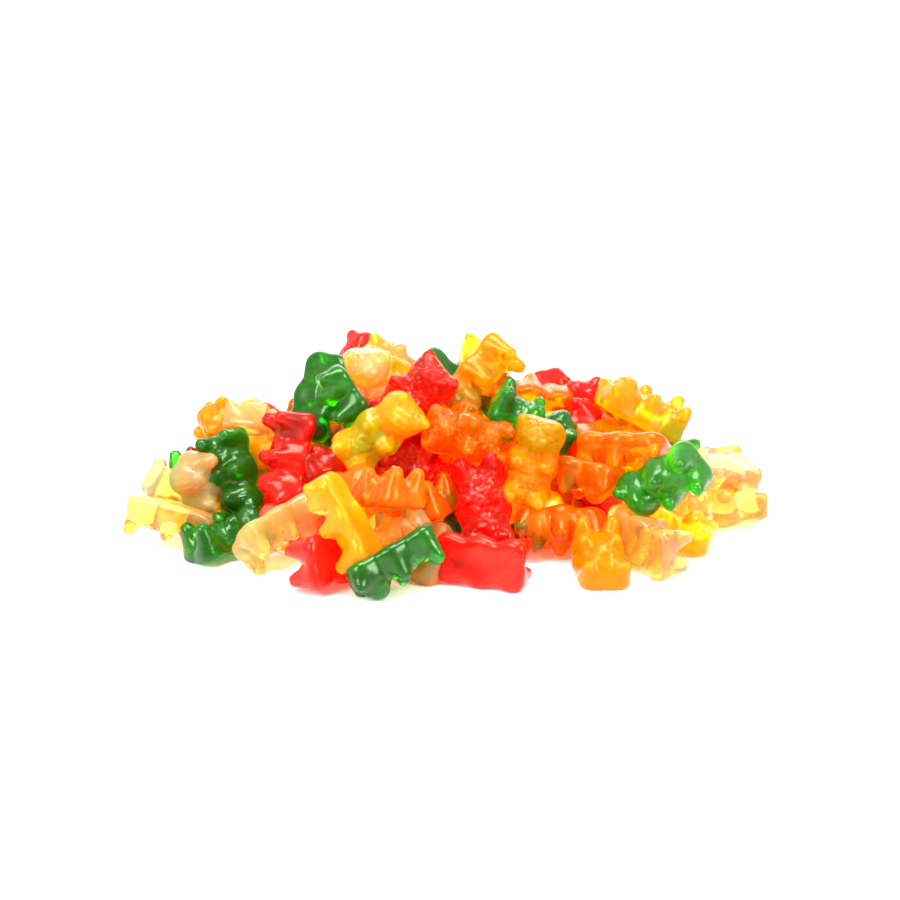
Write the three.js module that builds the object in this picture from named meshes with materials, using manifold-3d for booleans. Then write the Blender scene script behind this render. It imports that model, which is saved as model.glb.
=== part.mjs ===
// A heap of gummy bears on a table: one solid, a flat-based core mound with the bears of the
// outside fused to it at their true size. Millimetres, +Z up, origin on the table under the middle.
import * as THREE from 'three';
import { mergeVertices } from 'three/addons/utils/BufferGeometryUtils.js';
import Module from 'manifold-3d';

const wasm = await Module();
wasm.setup();

const { clamp, degToRad } = THREE.MathUtils;

// ---- one bear: x across, y from the soles to the crown, z from the flat back to the snout ----
const LENGTH = 22.0;
const DEPTH = 9.7;
const BACK = { middle: [0, 10.8, 1.4], half: [5.2, 10.6, 1.5], corner: 3.0, edge: 1.4, wave: 0.25, wavelength: 7.8 };
const BELLY = { middle: [0, 8.4, 3.2], radii: [4.4, 6.6, 4.2] };
const HEAD = { middle: [0, 17.3, 3.4], radii: [5.1, 4.3, 4.8] };
const SNOUT = { middle: [0, 17.0, 6.9], radii: [2.5, 2.2, 2.7] };
const EAR = { root: [3.0, 19.2, 2.4], tip: [4.1, 20.6, 5.6], radii: [2.3, 1.35] };
const ARM = { root: [3.0, 11.1, 2.2], tip: [3.3, 10.9, 7.5], radii: [3.0, 1.55] };
const LEG = { root: [2.9, 3.4, 2.2], tip: [3.3, 2.5, 7.9], radii: [3.2, 1.65] };
const DISH = { depth: 0.35, half: [4.6, 9.8] };  // the hollow in the middle of the back
const SOLE = 0.15;               // the soles are cut flat here
const FOLD = 1.4;                // how softly the lumps of a bear run into each other
const BLUNT = 1.4;               // how round the rims of the back and the soles are

// ---- its few-sided mesh ----
const SKIN = 0.25;               // this much fatter than the round bear, to keep its volume
const SPINE_HEIGHT = 3.2;        // the line inside a bear that its outline is measured from
const STATIONS = [0.6, 2.8, 6.6, 10.7, 13.8, 17.2, 20.8];  // soles, legs, fold, arms, fold, snout, brow
const SIDE_TURNS = [0, 38, 86, 134, 226, 274, 322].map(degToRad);  // from the front round the back
const FARTHEST = 12;             // no point of a bear is farther from its spine
const STRIDE = 0.25;             // the skin is looked for from the outside in by this
const HALVINGS = 20;             // and then between two strides

// ---- spheres that stand for a bear while the heap settles: x, y, z, radius ----
const BALLS = [
  ...[3.0, 8.3, 13.6, 18.9].flatMap((y) => [[-2.9, y, 2.9, 2.8], [2.9, y, 2.9, 2.8]]),
  [0, 17.4, 4.6, 4.2], [0, 9.0, 3.9, 3.8], [0, 17.0, 7.2, 2.3],
  [-2.9, 2.5, 7.9, 1.7], [2.9, 2.5, 7.9, 1.7], [-2.9, 10.7, 7.2, 1.8], [2.9, 10.7, 7.2, 1.8],
];

// ---- the heap ----
const TILT = degToRad(17);       // the serving side looks down on the heap by this
const REACH = 590;               // from the eye on the serving side to the point it looks at
const SEARCH = { before: 90, behind: 70, step: 0.5 };  // where along a line of sight the shell is looked for
const AIM = new THREE.Vector3(0, 0, 20);
const SHELL = { middle: 8, across: 71, along: 52, height: 37, power: 1.3 };  // the bears' middles lie on it
const NEARBY = 26;               // bears with middles farther apart never touch
const PRESS = 0.5;               // neighbours sink this far into each other
const ROUNDS = 160;              // of settling
const PULL = 0.12;               // each of the first rounds draws a bear this far into the heap
const PULLED = 0.6;              // share of the rounds with a pull
const EASE = 0.7;                // share of an overlap that one round takes away
const RETURN = 0.35;             // share of the way back to its line that a bear goes in one round
const YIELD = { floor: 0.3, shown: 1, under: 3 };  // how far each gives way to a neighbour
const CORE = { share: 0.82, under: 5, spokes: 16, rings: 4 };  // this far under the bears' middles
const MIDDLE = [0, 6.9];              // the middle of the heap's outline, which goes to the origin
const SUNK = -8.5;               // bears under the shell by more than this are left to the core
// shown bears nearer to the front than this have a copy at the back, turned half round about the
// middle, let down a little, drawn in to a share of their distance to the side and swung
const FAR = { from: -5, middle: 7, drop: 4, swing: degToRad(35), share: 0.95 };
const GOLDEN = (Math.sqrt(5) - 1) / 2;
const TABLE = { side: 400, deep: 40 };  // a box that cuts off what would lie under the table
const TOLERANCE = 0.2;           // facets flatter than this run together

// Each bear: where its middle is seen from the serving side, to the right of and above the aim,
// how far it lies off the shell towards the eye, and which way its crown and its snout point,
// as shares to the right, up and towards the eye.
const ON_TABLE = [
  { at: [-66, -17.3], head: [1, -0.25, -0.15], front: [-0.15, -1, -0.05] },
  { at: [-53, -19], head: [0.75, 0.25, -0.6], front: [-0.25, 0.9, 0.3] },
  { at: [-40, -19.5], head: [0.75, 0.5, -0.6], front: [0.4, -0.85, 0.3] },
  { at: [-28.5, -25.5], head: [0.6, 0.1, -0.78], front: [-0.8, -0.15, -0.6] },
  { at: [-12.5, -27.5], head: [-0.85, -0.5, 0.15], front: [0.5, -0.85, 0.15] },
  { at: [8.3, -26], head: [-0.93, 0.1, -0.35], front: [0.35, 0.12, -0.92] },
  { at: [26.5, -20], head: [-1, 0.05, 0], front: [0, -0.75, 0.65] },
  { at: [35.5, -24], head: [0.05, -0.42, 0.9], front: [0, 0.9, 0.4] },
  { at: [47, -21.5], head: [-0.55, 0.35, -0.75], front: [0.75, 0.2, -0.6] },
  { at: [51.8, -17], head: [0.9, -0.3, 0.2], front: [0.1, 0.9, 0.4] },
  { at: [64, -12.5], head: [0.93, 0.15, -0.2], front: [-0.15, 0.9, 0.3] },
];
const ON_HEAP = [
  { at: [-60.5, -9.5], lift: -4, head: [0.85, -0.3, -0.45], front: [0.3, 0.85, 0.3] },
  { at: [-55.5, -12.5], lift: -8, head: [0.35, -0.75, -0.55], front: [0.3, 0.5, 0.8] },
  { at: [-55.5, -5.5], lift: -9, head: [0.8, 0.1, -0.6], front: [0, 0.95, 0.2] },
  { at: [-54.5, -9], lift: -8, head: [0.8, -0.3, -0.5], front: [0, 0.9, 0.3] },
  { at: [-55.5, 6], lift: 0, head: [0.1, 0.15, 0.97], front: [-0.85, 0.4, 0.1] },
  { at: [-45.5, 6], lift: -6, head: [-0.2, 0.35, 0.9], front: [0.1, 0.9, -0.3] },
  { at: [-53, -6.5], lift: 0, head: [0.3, -0.94, 0.1], front: [-0.5, 0.1, 0.85] },
  { at: [-39.3, -2], lift: 4, head: [-0.12, -0.98, 0.1], front: [-0.9, 0.1, 0.4], size: 1.05 },
  { at: [-32, -5.5], lift: 1, head: [0.25, 0.35, 0.9], front: [-0.3, 0.85, -0.3] },
  { at: [-30, 11.5], lift: -1, head: [0.3, 0.92, -0.2], front: [0.45, -0.15, -0.88] },
  { at: [-23.5, 9.6], lift: 2, head: [-0.52, 0.83, 0.1], front: [-0.83, -0.5, 0.15] },
  { at: [-26.2, -17.5], lift: 6, head: [-0.49, 0.87, 0], front: [-0.8, -0.45, -0.35] },
  { at: [-23.5, 17], lift: -2, head: [0.3, 0.75, -0.6], front: [-0.85, -0.1, -0.5] },
  { at: [-14.5, 16.8], lift: -3, head: [-0.55, 0.6, -0.55], front: [-0.3, 0.3, 0.9] },
  { at: [-10.5, 13.5], lift: -9, head: [-0.2, 0.9, -0.3], front: [0.9, 0.2, -0.2] },
  { at: [-19.5, 12.8], lift: -2, head: [0.03, 0.95, 0.2], front: [0.05, -0.2, 0.95] },
  { at: [-10.5, 11.6], lift: 4, head: [0.75, 0.62, -0.1], front: [-0.1, 0.3, 0.95], size: 1.06 },
  { at: [0, 13], lift: -4, head: [0.75, -0.5, -0.3], front: [-0.3, -0.5, -0.8] },
  { at: [-17, 3.5], lift: 8, head: [0.78, 0.6, 0.1], front: [0.1, -0.1, 1] },
  { at: [-7, -4], lift: 2, head: [0.85, -0.5, 0], front: [0, 0.3, 0.95] },
  { at: [-8.5, 5.5], lift: -4, head: [0.3, 0.9, 0], front: [0, 0, 1] },
  { at: [-17, -8.5], lift: 5, head: [-0.7, 0.05, -0.7], front: [0.3, 0.93, 0.2] },
  { at: [-8.5, -12.5], lift: 0, head: [-0.7, -0.2, -0.6], front: [0.1, 0.9, 0.3] },
  { at: [-25, -6.5], lift: -5, head: [0.3, 0.5, -0.8], front: [-0.3, 0.8, 0.4] },
  { at: [-29.5, 4], lift: -4, head: [0.6, -0.5, 0.5], front: [0.2, 0.6, 0.7] },
  { at: [-15.5, -21.5], lift: -4, head: [-0.8, -0.3, -0.4], front: [0.2, 0.7, 0.6] },
  { at: [-5, -24], lift: -4, head: [0.3, 0.3, -0.9], front: [0.3, 0.8, 0.4] },
  { at: [4.5, 2.8], lift: 4, head: [-0.96, 0.26, 0.1], front: [0.1, 0, 1] },
  { at: [7.5, -18.5], lift: -8, head: [0.95, 0, -0.2], front: [0, 0.7, 0.7] },
  { at: [4.6, 17.2], lift: -4, head: [0.35, 0.9, -0.1], front: [0, 0.2, 0.9] },
  { at: [7.8, 16.3], lift: 0, head: [-0.67, -0.72, 0.1], front: [0.6, -0.55, 0.5] },
  { at: [7.5, 5.5], lift: -3, head: [-0.6, 0.4, 0.6], front: [0.3, 0.9, -0.2] },
  { at: [17.8, 12.8], lift: -4, head: [0.9, -0.2, -0.3], front: [0.2, 0.6, -0.7] },
  { at: [29.8, 8], lift: -2, head: [0.3, 0.7, -0.6], front: [-0.6, 0.6, 0.4] },
  { at: [20, 8], lift: 5, head: [0.85, -0.45, -0.1], front: [0.4, 0.85, 0.3] },
  { at: [19.4, -3.5], lift: 5, head: [0.25, 0.95, 0.1], front: [-0.1, -0.1, 1] },
  { at: [7.8, -12.5], lift: 4, head: [0.1, -0.85, 0.5], front: [-0.1, 0.5, 0.85], size: 1.06 },
  { at: [29.6, -6.4], lift: 3, head: [0.8, -0.15, 0.55], front: [-0.1, -0.95, 0.2] },
  { at: [31, 0], lift: -9, head: [0.5, 0.8, -0.2], front: [0.3, 0, 0.9] },
  { at: [37.5, 0.8], lift: -3, head: [0.75, 0.1, -0.6], front: [0.3, -0.55, -0.75] },
  { at: [40.8, -2.3], lift: 4, head: [0.88, -0.05, 0.45], front: [0, -0.9, 0.35] },
  { at: [46.3, 10.3], lift: 1, head: [-0.85, 0.35, 0.35], front: [0.4, 0.85, 0.2], size: 1.05 },
  { at: [34.5, -13], lift: -8, head: [-0.9, -0.1, -0.3], front: [0.1, 0.5, 0.8] },
  { at: [24, -10.5], lift: -5, head: [0.2, -0.9, 0.3], front: [0.2, 0.3, 0.9] },
  { at: [50.3, -8.8], lift: 2, head: [-0.8, -0.45, -0.55], front: [0.35, -0.1, 0.93] },
  { at: [63, -8.5], lift: -6, head: [0.75, 0, -0.65], front: [0, -0.8, -0.5] },
];

// ---- the shape of a bear ----

// The lesser of two distances, run together over a fold of width k.
function softMin(a, b, k) {
  const h = clamp(0.5 + (0.5 * (b - a)) / k, 0, 1);
  return b + (a - b) * h - k * h * (1 - h);
}

function ellipsoid(p, { middle, radii }) {
  const q = p.map((value, axis) => (value - middle[axis]) / radii[axis]);
  const near = Math.hypot(...q);
  const steep = Math.hypot(...q.map((value, axis) => value / radii[axis]));
  return (near * (near - 1)) / Math.max(steep, 1e-9);
}

// A slab with wavy sides, widest at its middle, round corners in plan and round edges.
function slab(p, { middle, half, corner, edge, wave, wavelength }) {
  const swing = wave * Math.cos((2 * Math.PI * (p[1] - middle[1])) / wavelength);
  const u = Math.abs(p[0] - middle[0]) - (half[0] + swing - corner);
  const v = Math.abs(p[1] - middle[1]) - (half[1] - corner);
  const plan = Math.hypot(Math.max(u, 0), Math.max(v, 0)) + Math.min(Math.max(u, v), 0) - corner + edge;
  const rise = Math.abs(p[2] - middle[2]) - half[2] + edge;
  return Math.hypot(Math.max(plan, 0), Math.max(rise, 0)) + Math.min(Math.max(plan, rise), 0) - edge;
}

// A limb that tapers from its root to its tip.
function limb(p, { root, tip, radii }) {
  const way = tip.map((value, axis) => value - root[axis]);
  const off = p.map((value, axis) => value - root[axis]);
  const dot = (a, b) => a[0] * b[0] + a[1] * b[1] + a[2] * b[2];
  const t = clamp(dot(off, way) / dot(way, way), 0, 1);
  const apart = Math.hypot(...off.map((value, axis) => value - t * way[axis]));
  return apart - (radii[0] + (radii[1] - radii[0]) * t);
}

// Distance to the skin of a bear, negative inside: lumps run together, cut by a dished back and flat soles.
function bearField(x, y, z) {
  const p = [Math.abs(x), y, z];
  let d = slab(p, BACK);
  d = softMin(d, ellipsoid(p, BELLY), FOLD);
  d = softMin(d, ellipsoid(p, HEAD), FOLD);
  d = softMin(d, ellipsoid(p, SNOUT), FOLD);
  d = softMin(d, limb(p, EAR), FOLD);
  d = softMin(d, limb(p, ARM), FOLD);
  d = softMin(d, limb(p, LEG), FOLD);
  const acrossDish = clamp(1 - (x / DISH.half[0]) ** 2, 0, 1);
  const alongDish = clamp(1 - ((y - LENGTH / 2) / DISH.half[1]) ** 2, 0, 1);
  const cut = Math.max(DISH.depth * acrossDish * alongDish - z, SOLE - y);
  return -softMin(-d, -cut, BLUNT);
}

// How far the skin lies from a point of the spine in one direction: the outermost crossing.
function skinDistance(from, direction) {
  const field = (t) => bearField(...from.map((value, axis) => value + t * direction[axis])) - SKIN;
  let outside = FARTHEST;
  while (outside > STRIDE && field(outside - STRIDE) > 0) outside -= STRIDE;
  let inside = outside - STRIDE;
  for (let i = 0; i < HALVINGS; i += 1) {
    const middle = (inside + outside) / 2;
    if (field(middle) > 0) outside = middle;
    else inside = middle;
  }
  return inside;
}

// A few-sided bear: each ring of a sphere goes to a station of the spine, and each of its points
// out to the skin. Its middle is at the origin.
function bearGeometry() {
  const rings = STATIONS.length + 1;
  const sphere = new THREE.SphereGeometry(1, SIDE_TURNS.length, rings);
  sphere.deleteAttribute('normal');
  sphere.deleteAttribute('uv');
  const bear = mergeVertices(sphere, 1e-4);
  const position = bear.getAttribute('position');
  for (let i = 0; i < position.count; i += 1) {
    const [x, y, z] = [position.getX(i), position.getY(i), position.getZ(i)];
    const ring = Math.round((Math.acos(clamp(-y, -1, 1)) / Math.PI) * rings);
    const pole = ring === 0 || ring === rings;
    const side = Math.round((Math.atan2(x, z) / (2 * Math.PI)) * SIDE_TURNS.length);
    const turn = SIDE_TURNS[(side + SIDE_TURNS.length) % SIDE_TURNS.length];
    const from = [0, STATIONS[clamp(ring - 1, 0, STATIONS.length - 1)], SPINE_HEIGHT];
    const direction = pole ? [0, Math.sign(y), 0] : [Math.sin(turn), 0, Math.cos(turn)];
    const far = skinDistance(from, direction);
    const at = from.map((value, axis) => value + far * direction[axis]);
    position.setXYZ(i, at[0], at[1] - LENGTH / 2, at[2] - DEPTH / 2);
  }
  return bear;
}

// ---- how the heap settles ----

const RIGHT = new THREE.Vector3(1, 0, 0);
const UP = new THREE.Vector3(0, Math.sin(TILT), Math.cos(TILT));
const TOWARDS = new THREE.Vector3(0, -Math.cos(TILT), Math.sin(TILT));
const EYE = AIM.clone().addScaledVector(TOWARDS, REACH);

function fromShares([right, up, towards]) {
  const sum = new THREE.Vector3().addScaledVector(RIGHT, right);
  return sum.addScaledVector(UP, up).addScaledVector(TOWARDS, towards);
}

// How high the bears' middles lie over a point of the table.
function shellHeight(x, y) {
  const side = Math.sqrt(Math.max(1 - (x / SHELL.across) ** 2, 1e-6));
  const away = Math.abs(y - SHELL.middle) / (SHELL.along * side);
  return SHELL.height * side * (1 - away ** SHELL.power);
}

// Where a line from the eye first meets the shell, or passes nearest over it.
function shellDistance(line) {
  let best = { over: Infinity, t: REACH };
  for (let t = REACH - SEARCH.before; t < REACH + SEARCH.behind; t += SEARCH.step) {
    const p = EYE.clone().addScaledVector(line, t);
    const over = p.z - shellHeight(p.x, p.y);
    if (over < 0) return t;
    if (over < best.over) best = { over, t };
  }
  return best.t;
}

// A bear as it starts out: its axes, its spheres, and its place on its line of sight.
function startBear({ at, lift = 0, head, front, size = 1, onTable = false }) {
  const y = fromShares(head).normalize();
  const z = fromShares(front);
  z.addScaledVector(y, -z.dot(y)).normalize();
  const turn = new THREE.Matrix4().makeBasis(y.clone().cross(z), y, z);
  const balls = BALLS.map(([bx, by, bz, radius]) => {
    const off = new THREE.Vector3(bx, by - LENGTH / 2, bz - DEPTH / 2).multiplyScalar(size);
    return { off: off.applyMatrix4(turn), radius: radius * size };
  });
  const line = AIM.clone().addScaledVector(RIGHT, at[0]).addScaledVector(UP, at[1]).sub(EYE).normalize();
  const lowest = Math.min(...balls.map(({ off, radius }) => off.z - radius));
  const far = onTable ? (-lowest - EYE.z) / line.z : shellDistance(line) - lift;
  const give = onTable ? YIELD.floor : lift < 0 ? YIELD.under : YIELD.shown;
  const place = EYE.clone().addScaledVector(line, far);
  return { turn, size, lift, balls, line, eye: EYE, lowest, onTable, give, place, start: place.clone() };
}

// The same bear on the far side: turned half round the shell's middle, and swung about the upright.
function farBear(bear, index) {
  const half = new THREE.Matrix4().makeRotationZ(Math.PI);
  const swing = new THREE.Matrix4().makeRotationZ(FAR.swing * (2 * ((index * GOLDEN) % 1) - 1));
  const across = (p) => new THREE.Vector3(
    -FAR.share * p.x, 2 * FAR.middle - p.y, p.z - (bear.onTable ? 0 : FAR.drop),
  );
  const balls = bear.balls.map(({ off, radius }) => ({
    off: off.clone().applyMatrix4(half).applyMatrix4(swing), radius,
  }));
  return {
    ...bear,
    turn: swing.clone().multiply(half).multiply(bear.turn),
    balls,
    line: bear.line.clone().applyMatrix4(half),
    eye: across(bear.eye),
    place: across(bear.place),
    start: across(bear.start),
  };
}

// How deep two bears overlap, and which way the first has to move.
function overlap(first, second) {
  const push = new THREE.Vector3();
  let deepest = -Infinity;
  for (const a of first.balls) {
    for (const b of second.balls) {
      const x = first.place.x + a.off.x - second.place.x - b.off.x;
      const y = first.place.y + a.off.y - second.place.y - b.off.y;
      const z = first.place.z + a.off.z - second.place.z - b.off.z;
      const apart = Math.max(Math.hypot(x, y, z), 1e-6);
      const depth = a.radius + b.radius - apart;
      deepest = Math.max(deepest, depth);
      if (depth > 0) push.add(new THREE.Vector3(x, y, z).multiplyScalar(depth / apart));
    }
  }
  return { deepest, push: push.normalize() };
}

// The bears draw into the heap along their lines of sight, part where they overlap, stay on the
// table, and keep to their lines.
function settle(bears) {
  for (let round = 0; round < ROUNDS; round += 1) {
    const pull = round < ROUNDS * PULLED ? PULL : 0;
    for (const bear of bears) if (!bear.onTable) bear.place.addScaledVector(bear.line, pull);
    const moves = bears.map(() => new THREE.Vector3());
    for (let i = 0; i < bears.length; i += 1) {
      for (let j = i + 1; j < bears.length; j += 1) {
        if (bears[i].place.distanceTo(bears[j].place) >= NEARBY) continue;
        const { deepest, push } = overlap(bears[i], bears[j]);
        const part = Math.max(deepest - PRESS, 0) / (bears[i].give + bears[j].give);
        moves[i].addScaledVector(push, part * bears[i].give);
        moves[j].addScaledVector(push, -part * bears[j].give);
      }
    }
    bears.forEach((bear, index) => {
      const { place } = bear;
      place.addScaledVector(moves[index], EASE);
      const drop = place.z + bear.lowest;
      place.z -= bear.onTable ? drop : Math.min(drop, 0);
      const off = place.clone().sub(bear.onTable ? bear.start : bear.eye);
      if (!bear.onTable) off.addScaledVector(bear.line, -off.dot(bear.line));
      place.addScaledVector(off, -RETURN);
      if (bear.onTable) place.z = -bear.lowest;
    });
  }
  return bears;
}

// ---- solids ----

function toManifold(geometry) {
  const vertProperties = new Float32Array(geometry.getAttribute('position').array);
  const triVerts = new Uint32Array(geometry.getIndex().array);
  return new wasm.Manifold(new wasm.Mesh({ numProp: 3, vertProperties, triVerts }));
}

// The core: rings of a disc, each spoke as long as the shell allows, raised to under the shell.
function coreGeometry() {
  const disc = new THREE.SphereGeometry(1, CORE.spokes, 2 * CORE.rings);
  disc.deleteAttribute('normal');
  disc.deleteAttribute('uv');
  disc.rotateX(Math.PI / 2);
  const core = mergeVertices(disc, 1e-4);
  const position = core.getAttribute('position');
  const coreHeight = (x, y) => shellHeight(x / CORE.share, SHELL.middle + (y - SHELL.middle) / CORE.share) - CORE.under;
  for (let i = 0; i < position.count; i += 1) {
    const way = new THREE.Vector2(position.getX(i), position.getY(i));
    const ring = Math.acos(clamp(Math.abs(position.getZ(i)), 0, 1)) / (Math.PI / 2);
    way.normalize();
    let reach = SHELL.across;
    while (coreHeight(reach * way.x, SHELL.middle + reach * way.y) < 0) reach -= 0.1;
    const [x, y] = [ring * reach * way.x, SHELL.middle + ring * reach * way.y];
    const top = position.getZ(i) > 1e-3 ? Math.max(coreHeight(x, y), 0.5) : 0;
    position.setXYZ(i, x, y, top);
  }
  return core;
}

function buildHeap() {
  const near = [...ON_TABLE.map((row) => startBear({ ...row, onTable: true })), ...ON_HEAP.map(startBear)];
  const far = near.filter(({ place, lift }) => place.y < FAR.from && lift > SUNK).map(farBear);
  const bears = settle([...near, ...far]);
  const bearMesh = bearGeometry();
  const solids = bears.filter(({ lift }) => lift > SUNK).map(({ turn, size, place }) => {
    const at = new THREE.Matrix4().makeTranslation(place.x, place.y, place.z).multiply(turn);
    return toManifold(bearMesh.clone().applyMatrix4(at.scale(new THREE.Vector3(size, size, size))));
  });
  const table = new THREE.BoxGeometry(TABLE.side, TABLE.side, TABLE.deep).translate(0, 0, -TABLE.deep / 2);
  table.deleteAttribute('normal');
  table.deleteAttribute('uv');
  const whole = wasm.Manifold.union([toManifold(coreGeometry()), ...solids]);
  const bodies = whole.subtract(toManifold(mergeVertices(table))).simplify(TOLERANCE).decompose();
  return bodies.sort((a, b) => b.volume() - a.volume())[0];
}

function toGeometry(manifold) {
  const { vertProperties, triVerts, numProp } = manifold.getMesh();
  const geometry = new THREE.BufferGeometry();
  const points = new Float32Array((vertProperties.length / numProp) * 3);
  for (let i = 0; i < points.length / 3; i += 1) {
    for (let axis = 0; axis < 3; axis += 1) points[3 * i + axis] = vertProperties[numProp * i + axis];
  }
  geometry.setAttribute('position', new THREE.BufferAttribute(points, 3));
  geometry.setIndex(new THREE.BufferAttribute(new Uint32Array(triVerts), 1));
  return geometry;
}

const geometry = toGeometry(buildHeap()).translate(-MIDDLE[0], -MIDDLE[1], 0);
const gummy = new THREE.MeshStandardMaterial({ color: 0xf07a14, roughness: 0.25, metalness: 0 });
const heap = new THREE.Mesh(geometry, gummy);
heap.name = 'gummy_heap';
const group = new THREE.Group();
group.add(heap);
export default group;
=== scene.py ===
"""A heap of gummy bears on a white table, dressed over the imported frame.

The bears are numpy surfaces, one mesh for each flavour. Lengths in this file are millimetres, and
are turned into metres only when a mesh, a lamp or the camera is made.
"""

from __future__ import annotations

import logging
from collections.abc import Sequence
from dataclasses import dataclass, field, fields, replace
from enum import Enum

import bpy
import numpy as np
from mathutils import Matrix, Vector

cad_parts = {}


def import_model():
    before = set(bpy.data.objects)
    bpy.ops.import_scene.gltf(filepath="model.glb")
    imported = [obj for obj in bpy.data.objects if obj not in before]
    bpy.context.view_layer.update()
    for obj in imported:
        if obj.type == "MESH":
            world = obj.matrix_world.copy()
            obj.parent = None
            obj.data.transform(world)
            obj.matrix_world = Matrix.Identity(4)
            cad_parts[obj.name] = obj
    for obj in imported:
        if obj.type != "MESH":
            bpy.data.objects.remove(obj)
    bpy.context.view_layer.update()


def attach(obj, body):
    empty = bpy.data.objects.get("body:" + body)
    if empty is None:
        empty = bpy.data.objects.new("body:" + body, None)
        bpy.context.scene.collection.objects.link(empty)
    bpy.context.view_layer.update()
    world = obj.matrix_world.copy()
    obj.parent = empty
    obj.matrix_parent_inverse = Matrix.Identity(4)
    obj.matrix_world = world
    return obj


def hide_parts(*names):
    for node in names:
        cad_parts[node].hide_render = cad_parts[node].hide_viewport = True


LOG = logging.getLogger("gummy_heap")
MM = 0.001
NODE = "gummy_heap"
BODY = "root"
FINE = (70, 54)  # rings of an outer bear, and points in a ring
COARSE = (26, 20)  # the same of a bear inside
GOLDEN = (np.sqrt(5.0) - 1.0) / 2.0
TINY = 1e-9  # keeps divisors off nil
Pair = tuple[float, float]
Triple = tuple[float, float, float]
Socket = bpy.types.NodeSocket


class Flavour(Enum):
    """The colours that the bears come in."""

    RED = "red"
    ORANGE = "orange"
    AMBER = "amber"
    YELLOW = "yellow"
    GREEN = "green"
    PALE = "pale"
    PEACH = "peach"


@dataclass(frozen=True)
class Pose:
    """One bear, as the serving side sees it.

    `at` is where its middle is seen, to the right of and above the aim. `lift` is how far it lies
    off the shell towards the eye. `head` and `front` are the ways that its crown and its snout
    point, as shares to the right, up and towards the eye. `rumple` is how high the crinkles of its
    front are.
    """

    flavour: Flavour
    at: Pair
    lift: float
    head: Triple
    front: Triple
    size: float = 1.0
    rumple: float = 0.12


ON_TABLE: tuple[Pose, ...] = (
    Pose(Flavour.PALE, (-66, -17.3), 0, (1, -0.25, -0.15), (-0.15, -1, -0.05)),
    Pose(Flavour.GREEN, (-53, -19), 0, (0.75, 0.25, -0.6), (-0.25, 0.9, 0.3)),
    Pose(Flavour.PEACH, (-40, -19.5), 0, (0.75, 0.5, -0.6), (0.4, -0.85, 0.3)),
    Pose(Flavour.RED, (-28.5, -25.5), 0, (0.6, 0.1, -0.78), (-0.8, -0.15, -0.6)),
    Pose(Flavour.GREEN, (-12.5, -27.5), 0, (-0.85, -0.5, 0.15), (0.5, -0.85, 0.15)),
    Pose(Flavour.RED, (8.3, -26), 0, (-0.93, 0.1, -0.35), (0.35, 0.12, -0.92)),
    Pose(Flavour.ORANGE, (26.5, -20), 0, (-1, 0.05, 0), (0, -0.75, 0.65)),
    Pose(Flavour.AMBER, (35.5, -24), 0, (0.05, -0.42, 0.9), (0, 0.9, 0.4)),
    Pose(Flavour.PALE, (47, -21.5), 0, (-0.55, 0.35, -0.75), (0.75, 0.2, -0.6)),
    Pose(Flavour.YELLOW, (51.8, -17), 0, (0.9, -0.3, 0.2), (0.1, 0.9, 0.4)),
    Pose(Flavour.PALE, (64, -12.5), 0, (0.93, 0.15, -0.2), (-0.15, 0.9, 0.3)),
)
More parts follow.
